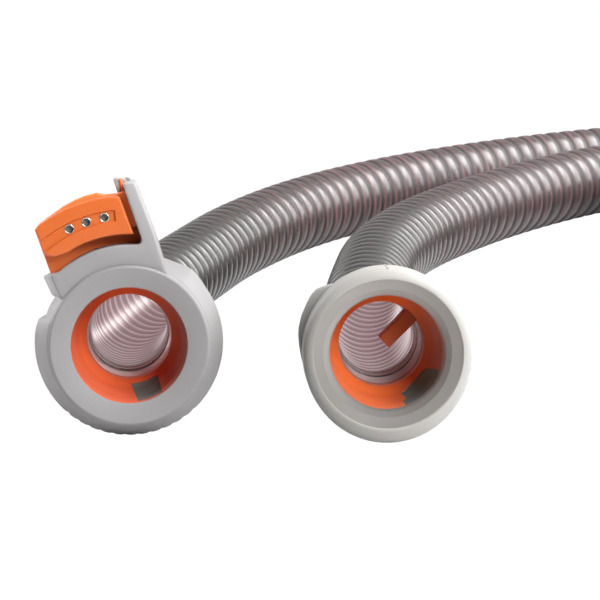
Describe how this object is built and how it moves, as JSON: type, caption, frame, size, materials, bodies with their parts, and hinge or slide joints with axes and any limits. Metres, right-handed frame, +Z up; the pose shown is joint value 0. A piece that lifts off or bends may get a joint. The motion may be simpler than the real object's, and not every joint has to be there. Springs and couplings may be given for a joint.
{
  "type": "heated breathing hose",
  "caption": "Electrically heated breathing-air hose with a push-on cuff at each end, a contact plug on one cuff and a temperature sensor in the other, laid out with its length coiled.",
  "frame": {"origin": "middle of the foot of the box round the two cuffs, on the surface that they lie on", "axes": "+Z up, +X from the machine cuff to the mask cuff, +Y away from the cuffs' mouths, towards the hose"},
  "size_m": [0.3811, 0.2594, 0.0493],
  "materials": {
    "cuff_grey": "soft matte thermoplastic rubber, warm light grey",
    "orange_plastic": "moulded, slightly satin orange",
    "contact_metal": "tinned metal",
    "board_green": "laminate board",
    "chip_black": "small moulded chips",
    "wire_copper": "enamelled copper",
    "clear_plastic": "clear, slightly pink",
    "sleeve_grey": "soft matte",
    "hose_film": "thin clear film over a bead, slightly pink grey",
    "sensor_glass": "glass bead"
  },
  "bodies": {
    "root": {"machine_cuff_cover": "cuff_grey", "machine_bore_insert": "orange_plastic", "connector_housing": "orange_plastic", "contact_sockets": "contact_metal", "connector_circuit_board": "board_green", "board_resistors": "chip_black", "connector_rear_cover": "cuff_grey", "machine_lead_wires": "wire_copper", "machine_hose_ferrule": "clear_plastic", "machine_strain_relief": "sleeve_grey", "hose_run_machine_end": "hose_film", "hose_coil": "hose_film", "hose_run_mask_end": "hose_film", "mask_cuff_cover": "cuff_grey", "mask_bore_insert": "orange_plastic", "sensor_fin": "orange_plastic", "thermistor_bead": "sensor_glass", "sensor_leads": "wire_copper", "mask_lead_wires": "wire_copper", "heater_crimp": "contact_metal", "mask_hose_ferrule": "clear_plastic", "mask_strain_relief": "sleeve_grey"}
  },
  "joints": []
}
